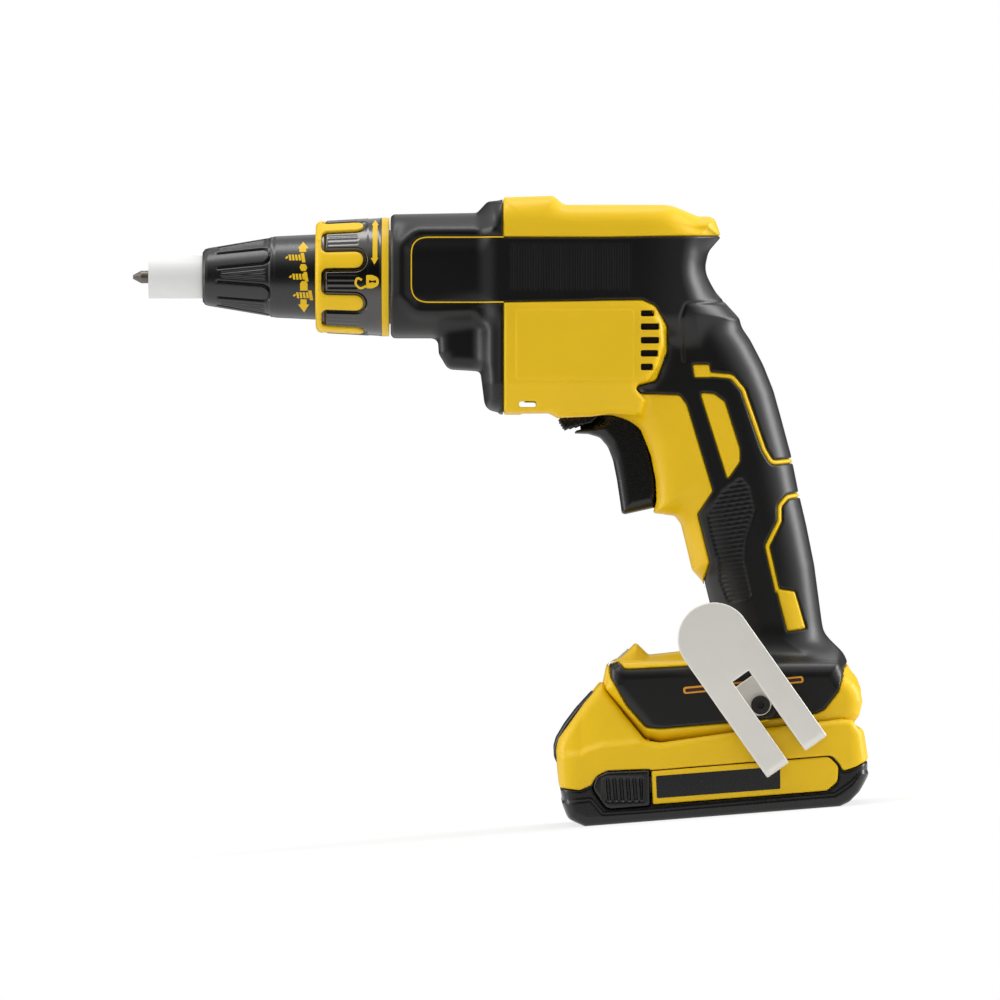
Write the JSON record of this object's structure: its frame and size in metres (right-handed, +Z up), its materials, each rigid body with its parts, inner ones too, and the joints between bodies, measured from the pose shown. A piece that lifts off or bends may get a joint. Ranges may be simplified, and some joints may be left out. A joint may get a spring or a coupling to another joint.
{
  "type": "cordless drywall screwdriver",
  "caption": "Pistol-grip battery screwdriver for drywall with a depth-setting nosecone, lock collar, trigger, belt hook and slide-on battery pack.",
  "frame": {"origin": "centre of the battery pack's flat base, on which the tool stands", "axes": "+X to the rear of the tool, away from the bit; +Y to the tool's right side, away from the belt hook; +Z up. The barrel is tilted by 4.5 degrees, nose up."},
  "size_m": [0.2525, 0.085, 0.2289],
  "materials": {
    "yellow_plastic": "fine satin",
    "soft_black": "soft matte",
    "black_plastic": "semi gloss",
    "steel": "brushed",
    "satin_metal": "satin",
    "brass": "plain",
    "copper_enamel": "enamelled wire",
    "circuit_board": "lacquered",
    "clear_lens": "frosted"
  },
  "bodies": {
    "tool": {"left_housing": "yellow_plastic", "right_housing": "yellow_plastic", "left_overmould": "soft_black", "right_overmould": "soft_black", "housing_screws": "steel", "gear_case": "satin_metal", "gear_case_plate": "satin_metal", "gear_case_screws": "steel", "spindle_bush": "brass", "gear_bearing": "steel", "motor_front_bearing": "steel", "motor_rear_bearing": "steel", "stator_core": "steel", "stator_windings": "copper_enamel", "sensor_board": "circuit_board", "switch_module": "black_plastic", "control_module": "satin_metal", "tool_terminal_block": "black_plastic", "tool_terminals": "brass", "led_lens": "clear_lens", "led_board": "circuit_board", "belt_hook": "steel", "belt_hook_screw": "steel", "hook_nuts": "brass", "trigger_spring": "steel"},
    "rotor": {"rotor_shaft": "steel", "rotor_core": "steel", "pinion": "steel", "cooling_fan": "black_plastic"},
    "gear": {"drive_gear": "steel", "gear_circlip": "steel"},
    "spindle": {"spindle": "steel", "clutch_spring": "steel", "bit_holder": "steel", "bit_magnet": "steel", "screw_bit": "steel"},
    "collar": {"lock_collar": "black_plastic", "collar_band": "yellow_plastic", "collar_ring": "yellow_plastic"},
    "nose": {"nosecone": "black_plastic"},
    "locator": {"depth_locator": "satin_metal"},
    "trigger": {"trigger": "black_plastic"},
    "lever": {"reversing_lever": "black_plastic"},
    "battery": {"battery_upper_case": "yellow_plastic", "battery_lower_case": "black_plastic", "battery_cells": "steel", "cell_holder": "black_plastic", "cell_straps": "brass", "battery_board": "circuit_board", "battery_terminals": "brass", "battery_screws": "steel", "battery_grips": "soft_black", "battery_side_plates": "yellow_plastic", "release_spring": "steel"},
    "release": {"battery_release_button": "black_plastic"}
  },
  "joints": [
    {"name": "gear_spin", "type": "hinge", "parent": "tool", "child": "gear", "pos_m": [-0.10237, 0, 0.20371], "axis": [0.9969, 0, -0.0785], "continuous": true},
    {"name": "rotor_spin", "type": "hinge", "parent": "tool", "child": "rotor", "pos_m": [-0.10418, 0, 0.18068], "axis": [0.9969, 0, -0.0785], "continuous": true},
    {"name": "spindle_push", "type": "slide", "parent": "gear", "child": "spindle", "axis": [0.9969, 0, -0.0785], "range_m": [0, 0.003], "stiffness_N_per_m": 4000, "deforming": ["clutch_spring"]},
    {"name": "collar_lock", "type": "hinge", "parent": "tool", "child": "collar", "pos_m": [-0.10237, 0, 0.20371], "axis": [0.9969, 0, -0.0785], "range_deg": [0, 40]},
    {"name": "depth_adjust", "type": "hinge", "parent": "tool", "child": "nose", "pos_m": [-0.10237, 0, 0.20371], "axis": [0.9969, 0, -0.0785], "range_deg": [-300, 300]},
    {"name": "locator_slide", "type": "slide", "parent": "nose", "child": "locator", "axis": [0.9969, 0, -0.0785], "range_m": [-0.003, 0.003]},
    {"name": "trigger_pull", "type": "slide", "parent": "tool", "child": "trigger", "axis": [0.9969, 0, -0.0785], "range_m": [0, 0.005], "stiffness_N_per_m": 1500, "deforming": ["trigger_spring"]},
    {"name": "reverse_select", "type": "hinge", "parent": "tool", "child": "lever", "pos_m": [-0.02809, 0, 0.15079], "axis": [0.0785, 0, 0.9969], "range_deg": [-12, 12]},
    {"name": "battery_slide", "type": "slide", "parent": "tool", "child": "battery", "axis": [-1, 0, 0], "range_m": [0, 0.085]},
    {"name": "battery_release", "type": "slide", "parent": "battery", "child": "release", "axis": [0.7716, 0, -0.6361], "range_m": [0, 0.002], "stiffness_N_per_m": 2000, "deforming": ["release_spring"]}
  ],
  "couplings": [
    {"joint": "rotor_spin", "follows": "gear_spin", "ratio": -4.5},
    {"joint": "depth_adjust", "follows": "locator_slide", "rad_per_m": 1570.8}
  ]
}
